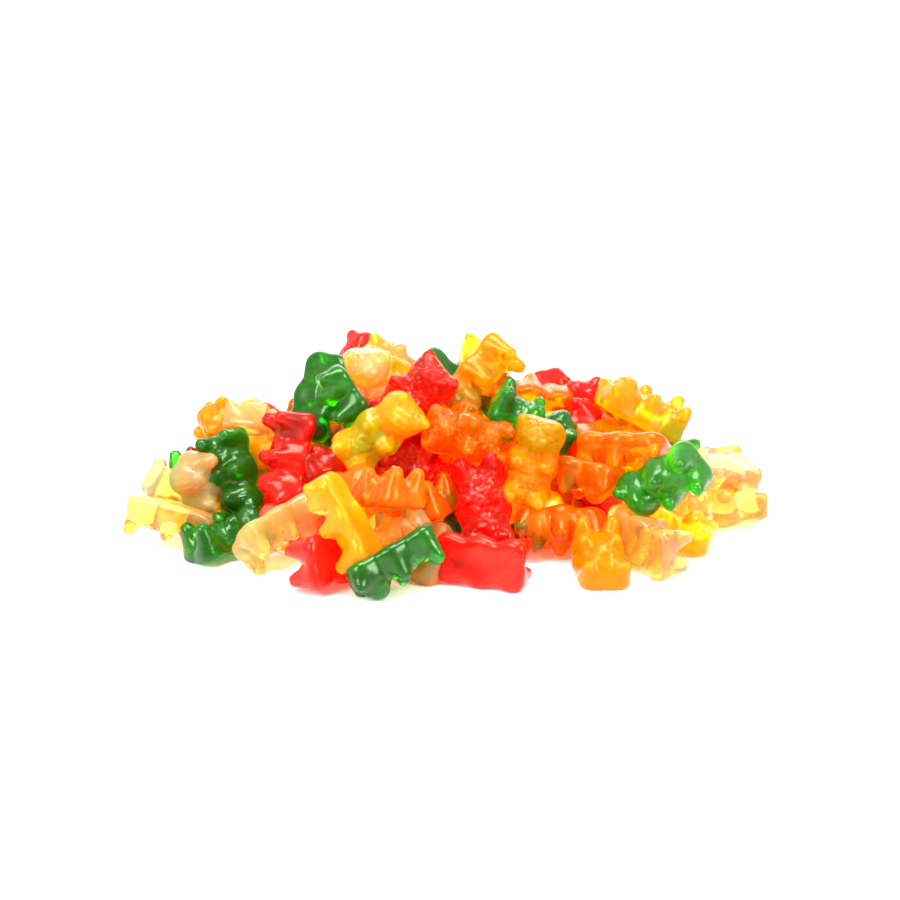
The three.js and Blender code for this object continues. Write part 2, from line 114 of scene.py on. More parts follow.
ON_HEAP: tuple[Pose, ...] = (
    Pose(Flavour.PEACH, (-60.5, -9.5), -4, (0.85, -0.3, -0.45), (0.3, 0.85, 0.3)),
    Pose(Flavour.PEACH, (-55.5, -12.5), -8, (0.35, -0.75, -0.55), (0.3, 0.5, 0.8)),
    Pose(Flavour.GREEN, (-55.5, -5.5), -9, (0.8, 0.1, -0.6), (0, 0.95, 0.2)),
    Pose(Flavour.RED, (-54.5, -9), -8, (0.8, -0.3, -0.5), (0, 0.9, 0.3)),
    Pose(Flavour.AMBER, (-55.5, 6), 0, (0.1, 0.15, 0.97), (-0.85, 0.4, 0.1)),
    Pose(Flavour.PEACH, (-45.5, 6), -6, (-0.2, 0.35, 0.9), (0.1, 0.9, -0.3)),
    Pose(Flavour.GREEN, (-53, -6.5), 0, (0.3, -0.94, 0.1), (-0.5, 0.1, 0.85)),
    Pose(Flavour.RED, (-39.3, -2), 4, (-0.12, -0.98, 0.1), (-0.9, 0.1, 0.4), size=1.05),
    Pose(Flavour.RED, (-32, -5.5), 1, (0.25, 0.35, 0.9), (-0.3, 0.85, -0.3)),
    Pose(Flavour.GREEN, (-30, 11.5), -1, (0.3, 0.92, -0.2), (0.45, -0.15, -0.88)),
    Pose(Flavour.GREEN, (-23.5, 9.6), 2, (-0.52, 0.83, 0.1), (-0.83, -0.5, 0.15)),
    Pose(Flavour.YELLOW, (-26.2, -17.5), 6, (-0.49, 0.87, 0), (-0.8, -0.45, -0.35)),
    Pose(Flavour.RED, (-23.5, 17), -2, (0.3, 0.75, -0.6), (-0.85, -0.1, -0.5)),
    Pose(Flavour.YELLOW, (-14.5, 16.8), -3, (-0.55, 0.6, -0.55), (-0.3, 0.3, 0.9)),
    Pose(Flavour.PEACH, (-10.5, 13.5), -9, (-0.2, 0.9, -0.3), (0.9, 0.2, -0.2)),
    Pose(Flavour.PEACH, (-19.5, 12.8), -2, (0.03, 0.95, 0.2), (0.05, -0.2, 0.95)),
    Pose(
        Flavour.RED, (-10.5, 11.6), 4, (0.75, 0.62, -0.1), (-0.1, 0.3, 0.95), size=1.06, rumple=0.42
    ),
    Pose(Flavour.GREEN, (0, 13), -4, (0.75, -0.5, -0.3), (-0.3, -0.5, -0.8)),
    Pose(Flavour.YELLOW, (-17, 3.5), 8, (0.78, 0.6, 0.1), (0.1, -0.1, 1), rumple=0.25),
    Pose(Flavour.RED, (-7, -4), 2, (0.85, -0.5, 0), (0, 0.3, 0.95), rumple=0.42),
    Pose(Flavour.RED, (-8.5, 5.5), -4, (0.3, 0.9, 0), (0, 0, 1), rumple=0.35),
    Pose(Flavour.ORANGE, (-17, -8.5), 5, (-0.7, 0.05, -0.7), (0.3, 0.93, 0.2)),
    Pose(Flavour.ORANGE, (-8.5, -12.5), 0, (-0.7, -0.2, -0.6), (0.1, 0.9, 0.3)),
    Pose(Flavour.ORANGE, (-25, -6.5), -5, (0.3, 0.5, -0.8), (-0.3, 0.8, 0.4)),
    Pose(Flavour.ORANGE, (-29.5, 4), -4, (0.6, -0.5, 0.5), (0.2, 0.6, 0.7)),
    Pose(Flavour.PEACH, (-15.5, -21.5), -4, (-0.8, -0.3, -0.4), (0.2, 0.7, 0.6)),
    Pose(Flavour.PEACH, (-5, -24), -4, (0.3, 0.3, -0.9), (0.3, 0.8, 0.4)),
    Pose(Flavour.ORANGE, (4.5, 2.8), 4, (-0.96, 0.26, 0.1), (0.1, 0, 1), rumple=0.42),
    Pose(Flavour.GREEN, (7.5, -18.5), -8, (0.95, 0, -0.2), (0, 0.7, 0.7)),
    Pose(Flavour.YELLOW, (4.6, 17.2), -4, (0.35, 0.9, -0.1), (0, 0.2, 0.9)),
    Pose(Flavour.AMBER, (7.8, 16.3), 0, (-0.67, -0.72, 0.1), (0.6, -0.55, 0.5)),
    Pose(Flavour.ORANGE, (7.5, 5.5), -3, (-0.6, 0.4, 0.6), (0.3, 0.9, -0.2)),
    Pose(Flavour.ORANGE, (17.8, 12.8), -4, (0.9, -0.2, -0.3), (0.2, 0.6, -0.7)),
    Pose(Flavour.RED, (29.8, 8), -2, (0.3, 0.7, -0.6), (-0.6, 0.6, 0.4)),
    Pose(Flavour.GREEN, (20, 8), 5, (0.85, -0.45, -0.1), (0.4, 0.85, 0.3)),
    Pose(Flavour.AMBER, (19.4, -3.5), 5, (0.25, 0.95, 0.1), (-0.1, -0.1, 1), rumple=0.32),
    Pose(
        Flavour.RED, (7.8, -12.5), 4, (0.1, -0.85, 0.5), (-0.1, 0.5, 0.85), size=1.06, rumple=0.42
    ),
    Pose(Flavour.ORANGE, (29.6, -6.4), 3, (0.8, -0.15, 0.55), (-0.1, -0.95, 0.2)),
    Pose(Flavour.ORANGE, (31, 0), -9, (0.5, 0.8, -0.2), (0.3, 0, 0.9)),
    Pose(Flavour.ORANGE, (37.5, 0.8), -3, (0.75, 0.1, -0.6), (0.3, -0.55, -0.75)),
    Pose(Flavour.ORANGE, (40.8, -2.3), 4, (0.88, -0.05, 0.45), (0, -0.9, 0.35), rumple=0.15),
    Pose(Flavour.AMBER, (46.3, 10.3), 1, (-0.85, 0.35, 0.35), (0.4, 0.85, 0.2), size=1.05),
    Pose(Flavour.RED, (34.5, -13), -8, (-0.9, -0.1, -0.3), (0.1, 0.5, 0.8)),
    Pose(Flavour.ORANGE, (24, -10.5), -5, (0.2, -0.9, 0.3), (0.2, 0.3, 0.9)),
    Pose(Flavour.GREEN, (50.3, -8.8), 2, (-0.8, -0.45, -0.55), (0.35, -0.1, 0.93)),
    Pose(Flavour.PALE, (63, -8.5), -6, (0.75, 0, -0.65), (0, -0.8, -0.5)),
)

FAR_FLAVOURS: tuple[Flavour, ...] = (
    Flavour.ORANGE, Flavour.YELLOW, Flavour.RED, Flavour.PEACH, Flavour.GREEN,
    Flavour.ORANGE, Flavour.PALE, Flavour.RED, Flavour.AMBER, Flavour.YELLOW,
    Flavour.GREEN, Flavour.ORANGE, Flavour.PEACH, Flavour.RED, Flavour.YELLOW,
)
HIDDEN_FLAVOURS: tuple[Flavour, ...] = (
    Flavour.ORANGE, Flavour.RED, Flavour.AMBER, Flavour.ORANGE, Flavour.YELLOW, Flavour.AMBER,
)


# ---- shapes as signed distances, negative inside ----


def soft_min(first: np.ndarray, second: np.ndarray, fold: float) -> np.ndarray:
    """The lesser of two distances, run together over a fold.

    Args:
        first: Distances to one lump.
        second: Distances to the other.
        fold: Width over which they blend.

    Returns:
        b + (a - b) h - fold h (1 - h), with h = 1/2 + (b - a) / (2 fold) kept between 0 and 1.
    """
    share = np.clip(0.5 + 0.5 * (second - first) / fold, 0.0, 1.0)
    return second + (first - second) * share - fold * share * (1.0 - share)


@dataclass(frozen=True)
class Ellipsoid:
    """A round lump."""

    middle: Triple
    radii: Triple

    def distance(self, points: np.ndarray) -> np.ndarray:
        """How far points are from the skin of the lump, nearly.

        Args:
            points: Points.

        Returns:
            k (k - 1) / g: k is the length of the point over the radii, g that over their squares.
        """
        over = (points - np.array(self.middle)) / np.array(self.radii)
        near = np.linalg.norm(over, axis=-1)
        steep = np.linalg.norm(over / np.array(self.radii), axis=-1)
        return near * (near - 1.0) / np.maximum(steep, TINY)


@dataclass(frozen=True)
class Slab:
    """A plate with wavy sides, round corners in plan and round edges."""

    middle: Triple
    half: Triple
    corner: float
    edge: float
    wave: float
    wavelength: float

    def distance(self, points: np.ndarray) -> np.ndarray:
        """How far points are from the skin of the plate.

        Args:
            points: Points.

        Returns:
            The distance to the plan, a rectangle with round corners whose half width swings by wave
            along y, joined with the distance to the two faces over a round edge.
        """
        off = np.abs(points - np.array(self.middle))
        swing = self.wave * np.cos(2 * np.pi * (points[..., 1] - self.middle[1]) / self.wavelength)
        u = off[..., 0] - (self.half[0] + swing - self.corner)
        v = off[..., 1] - (self.half[1] - self.corner)
        plan = np.hypot(np.maximum(u, 0), np.maximum(v, 0)) + np.minimum(np.maximum(u, v), 0)
        plan += self.edge - self.corner
        rise = off[..., 2] - self.half[2] + self.edge
        outside = np.hypot(np.maximum(plan, 0), np.maximum(rise, 0))
        return outside + np.minimum(np.maximum(plan, rise), 0) - self.edge


@dataclass(frozen=True)
class Limb:
    """An arm, a leg or an ear: a rod that tapers from its root to its tip."""

    root: Triple
    tip: Triple
    radii: Pair

    def distance(self, points: np.ndarray) -> np.ndarray:
        """How far points are from the skin of the rod.

        Args:
            points: Points.

        Returns:
            The distance to the stretch from root to tip, less a radius that changes evenly along
            it.
        """
        way = np.array(self.tip) - np.array(self.root)
        off = points - np.array(self.root)
        share = np.clip((off @ way) / (way @ way), 0.0, 1.0)
        apart = np.linalg.norm(off - share[..., None] * way, axis=-1)
        return apart - (self.radii[0] + (self.radii[1] - self.radii[0]) * share)


@dataclass(frozen=True)
class Ripples:
    """Crinkles or lumps: a sum of even waves that run in seeded directions.

    `shares` is the range of the waves' frequencies about the common one, and `ridge` is how
    steeply the sum is folded into ridges.
    """

    wavelength: float
    waves: int
    seed: int
    shares: Pair = (0.75, 1.3)
    ridge: float = 1.6

    def height(self, points: np.ndarray) -> np.ndarray:
        """Ridged sum of the waves at the points, from about -1 to 1.

        Args:
            points: Points, in millimetres.

        Returns:
            1 - ridge |s|, where s is the sum of sin(k . p + phase) scaled to a spread of about 1.
            Each k is 2 pi over the wavelength, times a share of its own.
        """
        draw = np.random.default_rng(self.seed)
        ways = draw.normal(size=(self.waves, 3))
        ways *= 2 * np.pi / self.wavelength / np.linalg.norm(ways, axis=1, keepdims=True)
        ways *= draw.uniform(*self.shares, size=(self.waves, 1))
        phases = draw.uniform(0, 2 * np.pi, size=self.waves)
        total = np.sin(points @ ways.T + phases).sum(-1) * np.sqrt(2.0 / self.waves)
        return 1.0 - self.ridge * np.abs(total)


# ---- closed grids ----


@dataclass(frozen=True)
class Grid:
    """A closed grid of rings: its points and its faces."""

    points: np.ndarray
    quads: np.ndarray
    fans: np.ndarray

    @staticmethod
    def closed(points: np.ndarray, rings: int, columns: int) -> "Grid":
        """The grid over points that lie in rings.

        Args:
            points: The rings' points, ring by ring, and then the poles of the first and the last.
            rings: How many rings there are.
            columns: Points in a ring.

        Returns:
            The grid. Four-sided faces join each ring to the next, and the end rings are closed by
            fans of three-sided faces about the poles.
        """
        ring, column = np.arange(rings - 1)[:, None], np.arange(columns)[None, :]
        here, beside = ring * columns + column, ring * columns + (column + 1) % columns
        quads = np.stack([here, beside, beside + columns, here + columns], -1).reshape(-1, 4)
        last, column = (rings - 1) * columns, np.arange(columns)
        pole = np.full(columns, rings * columns)
        fans = np.vstack([
            np.stack([pole, (column + 1) % columns, column], -1),
            np.stack([pole + 1, last + column, last + (column + 1) % columns], -1),
        ])
        return Grid(points, quads, fans)


# ---- one bear: x across, y from the soles to the crown, z from the flat back to the snout ----


@dataclass(frozen=True)
class BearForm:
    """The moulded shape that all bears share: lumps run together over `fold`.

    The back is hollowed by `dish_depth` over `dish_half`, the feet are cut flat `sole` up, and the
    edges of both cuts are blunted over `blunt`. Rays to the skin start from the spine, which runs
    between the two y of `spine` at `spine_height`, and fan out about its ends as on a ball of
    radius `cap`. They come in from `farthest` by `strides` and `halvings`. The points are then
    evened out in `evenings`, each with one `slide` along the skin and some `returns` onto it.
    """

    length: float = 22.0
    depth: float = 9.7
    back: Slab = Slab(
        middle=(0.0, 10.8, 1.4), half=(5.2, 10.6, 1.5), corner=3.0, edge=1.4,
        wave=0.25, wavelength=7.8,
    )
    belly: Ellipsoid = Ellipsoid((0.0, 8.4, 3.2), (4.4, 6.6, 4.2))
    head: Ellipsoid = Ellipsoid((0.0, 17.3, 3.4), (5.1, 4.3, 4.8))
    snout: Ellipsoid = Ellipsoid((0.0, 17.0, 6.9), (2.5, 2.2, 2.7))
    ear: Limb = Limb((3.0, 19.2, 2.4), (4.1, 20.6, 5.6), (2.3, 1.35))
    arm: Limb = Limb((3.0, 11.1, 2.2), (3.3, 10.9, 7.5), (3.0, 1.55))
    leg: Limb = Limb((2.9, 3.4, 2.2), (3.3, 2.5, 7.9), (3.2, 1.65))
    dish_depth: float = 0.35
    dish_half: Pair = (4.6, 9.8)
    sole: float = 0.15
    fold: float = 1.9
    blunt: float = 1.4
    spine: Pair = (5.0, 17.0)
    spine_height: float = 3.2
    cap: float = 5.0
    farthest: float = 13.0
    strides: int = 131
    halvings: int = 24
    evenings: int = 6
    slide: float = 0.5
    returns: int = 2

    @property
    def centre(self) -> np.ndarray:
        """The bear's middle."""
        return np.array([0.0, self.length / 2, self.depth / 2])

    def distance(self, points: np.ndarray) -> np.ndarray:
        """How far points are from the skin of the bear.

        Args:
            points: Points.

        Returns:
            The lumps' distances run together over the fold, with |x| for x, then cut by the dished
            back and the flat soles with blunt edges.
        """
        half = points.copy()
        half[..., 0] = np.abs(half[..., 0])
        near = self.back.distance(half)
        for lump in (self.belly, self.head, self.snout, self.ear, self.arm, self.leg):
            near = soft_min(near, lump.distance(half), self.fold)
        across = np.clip(1 - (half[..., 0] / self.dish_half[0]) ** 2, 0, 1)
        along = np.clip(1 - ((points[..., 1] - self.length / 2) / self.dish_half[1]) ** 2, 0, 1)
        dish = self.dish_depth * across * along - points[..., 2]
        cut = np.maximum(dish, self.sole - points[..., 1])
        return -soft_min(-near, -cut, self.blunt)

    def normals(self, points: np.ndarray, step: float = 1e-3) -> np.ndarray:
        """Which way the skin faces.

        Args:
            points: Points.
            step: How far to either side the distance is taken.

        Returns:
            Unit slopes of the distance, by central differences.
        """
        moves = np.eye(3) * step
        slope = np.stack([self.distance(points + m) - self.distance(points - m) for m in moves], -1)
        return slope / np.maximum(np.linalg.norm(slope, axis=-1, keepdims=True), TINY)

    def rays(self, rings: int, columns: int) -> tuple[np.ndarray, np.ndarray]:
        """Where each grid point's ray starts, and which way it goes.

        Args:
            rings: Rings from the soles to the crown.
            columns: Points in a ring.

        Returns:
            Starts and unit directions, for the rings and then the two poles. The first parameter
            runs along a quarter turn about the lower end of the spine, the spine, and a quarter
            turn about its upper end. The second is the turn about the spine.
        """
        low, high = self.spine
        quarter = self.cap * np.pi / 2
        way = np.linspace(0, 1, rings + 2)[1:-1] * (2 * quarter + high - low)
        lower, upper = (way - quarter) / self.cap, (way - quarter - (high - low)) / self.cap
        tilt = np.where(way < quarter, lower, np.where(upper > 0, upper, 0.0))
        place = low + np.clip(way - quarter, 0, high - low)
        turn = np.arange(columns) / columns * 2 * np.pi
        turns, tilts = np.meshgrid(turn, tilt)
        places = np.repeat(place[:, None], columns, 1)
        starts = np.stack([0 * places, places, 0 * places + self.spine_height], -1).reshape(-1, 3)
        flat = np.cos(tilts)
        ways = np.stack([np.sin(turns) * flat, np.sin(tilts), np.cos(turns) * flat], -1)
        poles = np.array([[0, low, self.spine_height], [0, high, self.spine_height]])
        pole_ways = np.array([[0.0, -1.0, 0.0], [0.0, 1.0, 0.0]])
        return np.vstack([starts, poles]), np.vstack([ways.reshape(-1, 3), pole_ways])

    def skin(self, rings: int, columns: int) -> Grid:
        """The grid's points, out on the skin.

        Args:
            rings: Rings from the soles to the crown.
            columns: Points in a ring.

        Returns:
            The closed grid. Each point is the outermost crossing of its ray with the skin, found by
            strides from outside and then by halving, and is then evened out among its neighbours.
        """
        starts, ways = self.rays(rings, columns)
        strides = np.linspace(self.farthest, 0, self.strides)
        inside = np.stack([self.distance(starts + ways * s) < 0 for s in strides], 1)
        first = np.maximum(inside.argmax(1), 1)
        outer, inner = strides[first - 1], strides[first]
        for _ in range(self.halvings):
            middle = (outer + inner) / 2
            within = self.distance(starts + ways * middle[:, None]) < 0
            inner, outer = np.where(within, middle, inner), np.where(within, outer, middle)
        points = starts + ways * ((inner + outer) / 2)[:, None]
        return Grid.closed(self.even(points, rings, columns), rings, columns)

    def even(self, points: np.ndarray, rings: int, columns: int) -> np.ndarray:
        """Evens points out over the skin.

        Args:
            points: The rings' points and the two poles.
            rings: How many rings there are.
            columns: Points in a ring.

        Returns:
            The points, each moved by a share of the way to the mean of its four neighbours, or of
            the end ring for a pole, along the skin, and then down its normal back onto the skin.
        """
        for _ in range(self.evenings):
            sheet = points[:-2].reshape(rings, columns, 3)
            south = np.broadcast_to(points[-2], (1, columns, 3))
            north = np.broadcast_to(points[-1], (1, columns, 3))
            mean = np.roll(sheet, 1, 1) + np.roll(sheet, -1, 1)
            mean += np.vstack([sheet[1:], north]) + np.vstack([south, sheet[:-1]])
            ends = np.stack([sheet[0].mean(0), sheet[-1].mean(0)])
            move = np.vstack([mean.reshape(-1, 3) / 4, ends]) - points
            normal = self.normals(points)
            points = points + self.slide * (move - normal * np.sum(move * normal, 1, keepdims=True))
            for _ in range(self.returns):
                points = points - self.normals(points) * self.distance(points)[:, None]
        return points


@dataclass(frozen=True)
class Warp:
    """How far one bear differs from the mould, in millimetres at its ends or as shares."""

    bow: float
    lean: float
    twist: float
    plump: float
    stretch: float

    def apply(self, points: np.ndarray, form: BearForm) -> np.ndarray:
        """The points moved.

        Args:
            points: Points of a bear, with y from its soles and z from its back.
            form: The mould, for its length and its spine.

        Returns:
            x and z turned about the spine by twist times the place along it, from -1 to 1, moved by
            lean and bow times its square, with x and z times plump and y times stretch, about the
            middle. The bow is less a third, so that the bear's middle stays where it is.
        """
        place = (points[:, 1] - form.length / 2) / (form.length / 2)
        turn = self.twist * place
        x, z = points[:, 0], points[:, 2] - form.spine_height
        across = np.cos(turn) * x + np.sin(turn) * z + self.lean * place**2
        front = np.cos(turn) * z - np.sin(turn) * x + self.bow * (place**2 - 1.0 / 3.0)
        along = (points[:, 1] - form.length / 2) * self.stretch
        rise = front * self.plump + form.spine_height
        return np.stack([across * self.plump, along + form.length / 2, rise], 1)


@dataclass(frozen=True)
class Variety:
    """How far bears may differ from the mould: either way, or the least and the most."""

    bow: float = 0.9
    lean: float = 0.6
    twist: float = 0.16
    plump: Pair = (0.96, 1.03)
    stretch: Pair = (0.97, 1.03)

    def warp(self, draw: np.random.Generator) -> Warp:
        """One bear's own changes, drawn in the order of the fields.

        Args:
            draw: The bear's seeded draw.

        Returns:
            The changes.
        """
        ranges = [(-most, most) for most in (self.bow, self.lean, self.twist)]
        ranges += [self.plump, self.stretch]
        return Warp(*(draw.uniform(low, high) for low, high in ranges))


# ---- the heap ----


@dataclass(frozen=True)
class Viewpoint:
    """The serving side's eye: how steeply it looks down, from how far off and at what height."""

    tilt: float = np.radians(17.0)
    reach: float = 590.0
    aim_height: float = 20.0

    @property
    def aim(self) -> np.ndarray:
        """The point it looks at."""
        return np.array([0.0, 0.0, self.aim_height])

    @property
    def axes(self) -> np.ndarray:
        """To the right, up and towards the eye, as rows."""
        cos, sin = np.cos(self.tilt), np.sin(self.tilt)
        return np.array([[1.0, 0.0, 0.0], [0.0, sin, cos], [0.0, -cos, sin]])

    @property
    def eye(self) -> np.ndarray:
        """Where the eye is."""
        return self.aim + self.reach * self.axes[2]

    def line(self, at: Pair) -> np.ndarray:
        """Unit way from the eye through a point to the right of and above the aim."""
        way = self.aim + np.array(at) @ self.axes[:2] - self.eye
        return way / np.linalg.norm(way)

    def frame(self, pose: Pose) -> np.ndarray:
        """How a bear is turned.

        Args:
            pose: Its head and front, as shares to the right, up and towards the eye.

        Returns:
            Its axes as columns: y to the head, z to the front as far as that is square to y, and x
            square to both.
        """
        y = np.array(pose.head) @ self.axes
        y /= np.linalg.norm(y)
        z = np.array(pose.front) @ self.axes
        z -= (z @ y) * y
        z /= np.linalg.norm(z)
        return np.stack([np.cross(y, z), y, z], 1)


@dataclass(frozen=True)
class Shell:
    """The mound on which the middles of the outer bears lie.

    `middle` is the y of its top, and `across` and `along` are its half width and half depth.
    `thinnest` keeps its depth off nil at the sides. It is looked for along a line over the stretch
    `search`, from the aim's distance, in steps of `search_step`.
    """

    middle: float = 8.0
    across: float = 71.0
    along: float = 52.0
    top: float = 37.0
    power: float = 1.3
    thinnest: float = 1e-6
    search: Pair = (-90.0, 70.0)
    search_step: float = 0.5

    def height(self, x: np.ndarray, y: np.ndarray) -> np.ndarray:
        """The shell's height over the table.

        Args:
            x: Places across.
            y: Places from front to back.

        Returns:
            top s (1 - (|y - middle| / (along s)) ^ power), with s = sqrt(1 - (x / across) ^ 2).
        """
        side = np.sqrt(np.maximum(1 - (x / self.across) ** 2, self.thinnest))
        away = np.abs(y - self.middle) / (self.along * side)
        return self.top * side * (1 - away**self.power)

    def meets(self, view: Viewpoint, line: np.ndarray) -> float:
        """Where a line from the eye meets the shell.

        Args:
            view: The eye.
            line: Unit way of the line.

        Returns:
            How far along the line the shell is first met, or passed nearest over.
        """
        near, far = self.search
        along = np.arange(view.reach + near, view.reach + far, self.search_step)
        points = view.eye + along[:, None] * line
        over = points[:, 2] - self.height(points[:, 0], points[:, 1])
        under = over < 0
        return float(along[under.argmax()] if under.any() else along[over.argmin()])


def lowest(balls: np.ndarray, radii: np.ndarray) -> np.ndarray:
    """How low the lowest of each bear's balls reaches, from the bear's middle."""
    return (balls[:, :, 2] - radii).min(1)


@dataclass
class Lying:
    """Bears as they lie, one row of each array for each bear.

    `frames` holds a bear's axes as columns, and `places` its middle. `lines` and `eyes` are the
    line on which it is seen and where that starts. `balls` and `radii` stand for its body, about
    its middle. `gives` is how readily it is pushed, and `lifts` and `rumples` are its pose's.
    """

    frames: np.ndarray
    sizes: np.ndarray
    places: np.ndarray
    lines: np.ndarray
    eyes: np.ndarray
    balls: np.ndarray
    radii: np.ndarray
    gives: np.ndarray
    on_table: np.ndarray
    lifts: np.ndarray
    rumples: np.ndarray
    flavours: list[Flavour]

    def arrays(self) -> dict[str, np.ndarray]:
        """All but the flavours, by name."""
        names = [part.name for part in fields(self) if part.name != "flavours"]
        return {name: getattr(self, name) for name in names}

    def joined(self, other: "Lying") -> "Lying":
        """These bears and others.

        Args:
            other: The others.

        Returns:
            These bears, and then the others.
        """
        added = other.arrays()
        rows = {name: np.concatenate([mine, added[name]]) for name, mine in self.arrays().items()}
        return Lying(**rows, flavours=self.flavours + other.flavours)

    def kept(self, keep: np.ndarray) -> "Lying":
        """Those of the bears for which keep is true."""
        rows = {name: mine[keep] for name, mine in self.arrays().items()}
        return Lying(**rows, flavours=[self.flavours[index] for index in np.flatnonzero(keep)])


def turned(angle: np.ndarray) -> np.ndarray:
    """Turns about the upright.

    Args:
        angle: How far, in radians, in an array of any shape.

    Returns:
        One matrix for each angle.
    """
    cos, sin, nil = np.cos(angle), np.sin(angle), 0 * angle
    rows = [(cos, -sin, nil), (sin, cos, nil), (nil, nil, nil + 1)]
    return np.stack([np.stack(row, -1) for row in rows], -2)


@dataclass(frozen=True)
class Settling:
    """The rule by which bears draw into the heap and part where they overlap.

    Only bears whose middles are closer than `nearby` are looked at, and `press` is how far they may
    pass into each other. In the first share `pulled` of the `rounds`, each bear is drawn in by
    `pull`. In all of them it goes by a share `ease` of its pushes, and then by a share `returning`
    of the way back to its line.
    """

    nearby: float = 26.0
    press: float = 0.5
    rounds: int = 160
    pull: float = 0.12
    pulled: float = 0.6
    ease: float = 0.7
    returning: float = 0.35

    def settle(self, bears: Lying) -> None:
        """Moves the bears' places.

        Args:
            bears: The bears. Each is drawn along its line, pushed off its neighbours by its share
                of the deepest overlap of their balls, kept over the table and drawn back to its
                line.
        """
        starts = bears.places.copy()
        low, free = lowest(bears.balls, bears.radii), ~bears.on_table
        for turn in range(self.rounds):
            if turn < self.rounds * self.pulled:
                bears.places = bears.places + bears.lines * (self.pull * free)[:, None]
            bears.places = bears.places + self.ease * self.pushes(bears)
            drop = bears.places[:, 2] + low
            bears.places[:, 2] -= np.where(bears.on_table, drop, np.minimum(drop, 0))
            off = bears.places - bears.eyes
            along = np.einsum("ni,ni->n", off, bears.lines)
            aside = off - along[:, None] * bears.lines
            aside = np.where(free[:, None], aside, bears.places - starts)
            bears.places = bears.places - self.returning * aside
            bears.places[:, 2] = np.where(bears.on_table, -low, bears.places[:, 2])

    def pushes(self, bears: Lying) -> np.ndarray:
        """How far each bear is pushed by those that it overlaps.

        Args:
            bears: The bears.

        Returns:
            A move for each bear. Two bears part by their deepest overlap less press, shared out by
            their gives, along the sum of the ways between their balls weighted by overlap.
        """
        centres = bears.places[:, None] + bears.balls
        gap = np.linalg.norm(bears.places[:, None] - bears.places[None], axis=2)
        one, two = np.where(np.triu(gap < self.nearby, 1))
        apart = centres[one][:, :, None] - centres[two][:, None]
        far = np.maximum(np.linalg.norm(apart, axis=3), TINY)
        depth = bears.radii[one][:, :, None] + bears.radii[two][:, None] - far
        deepest = depth.reshape(len(one), -1).max(1)
        way = (apart * (np.maximum(depth, 0) / far)[..., None]).sum((1, 2))
        way /= np.maximum(np.linalg.norm(way, axis=1, keepdims=True), TINY)
        both = np.maximum(bears.gives[one] + bears.gives[two], TINY)
        part = np.maximum(deepest - self.press, 0) / both
        moves = np.zeros_like(bears.places)
        np.add.at(moves, one, way * (part * bears.gives[one])[:, None])
        np.add.at(moves, two, -way * (part * bears.gives[two])[:, None])
        return moves


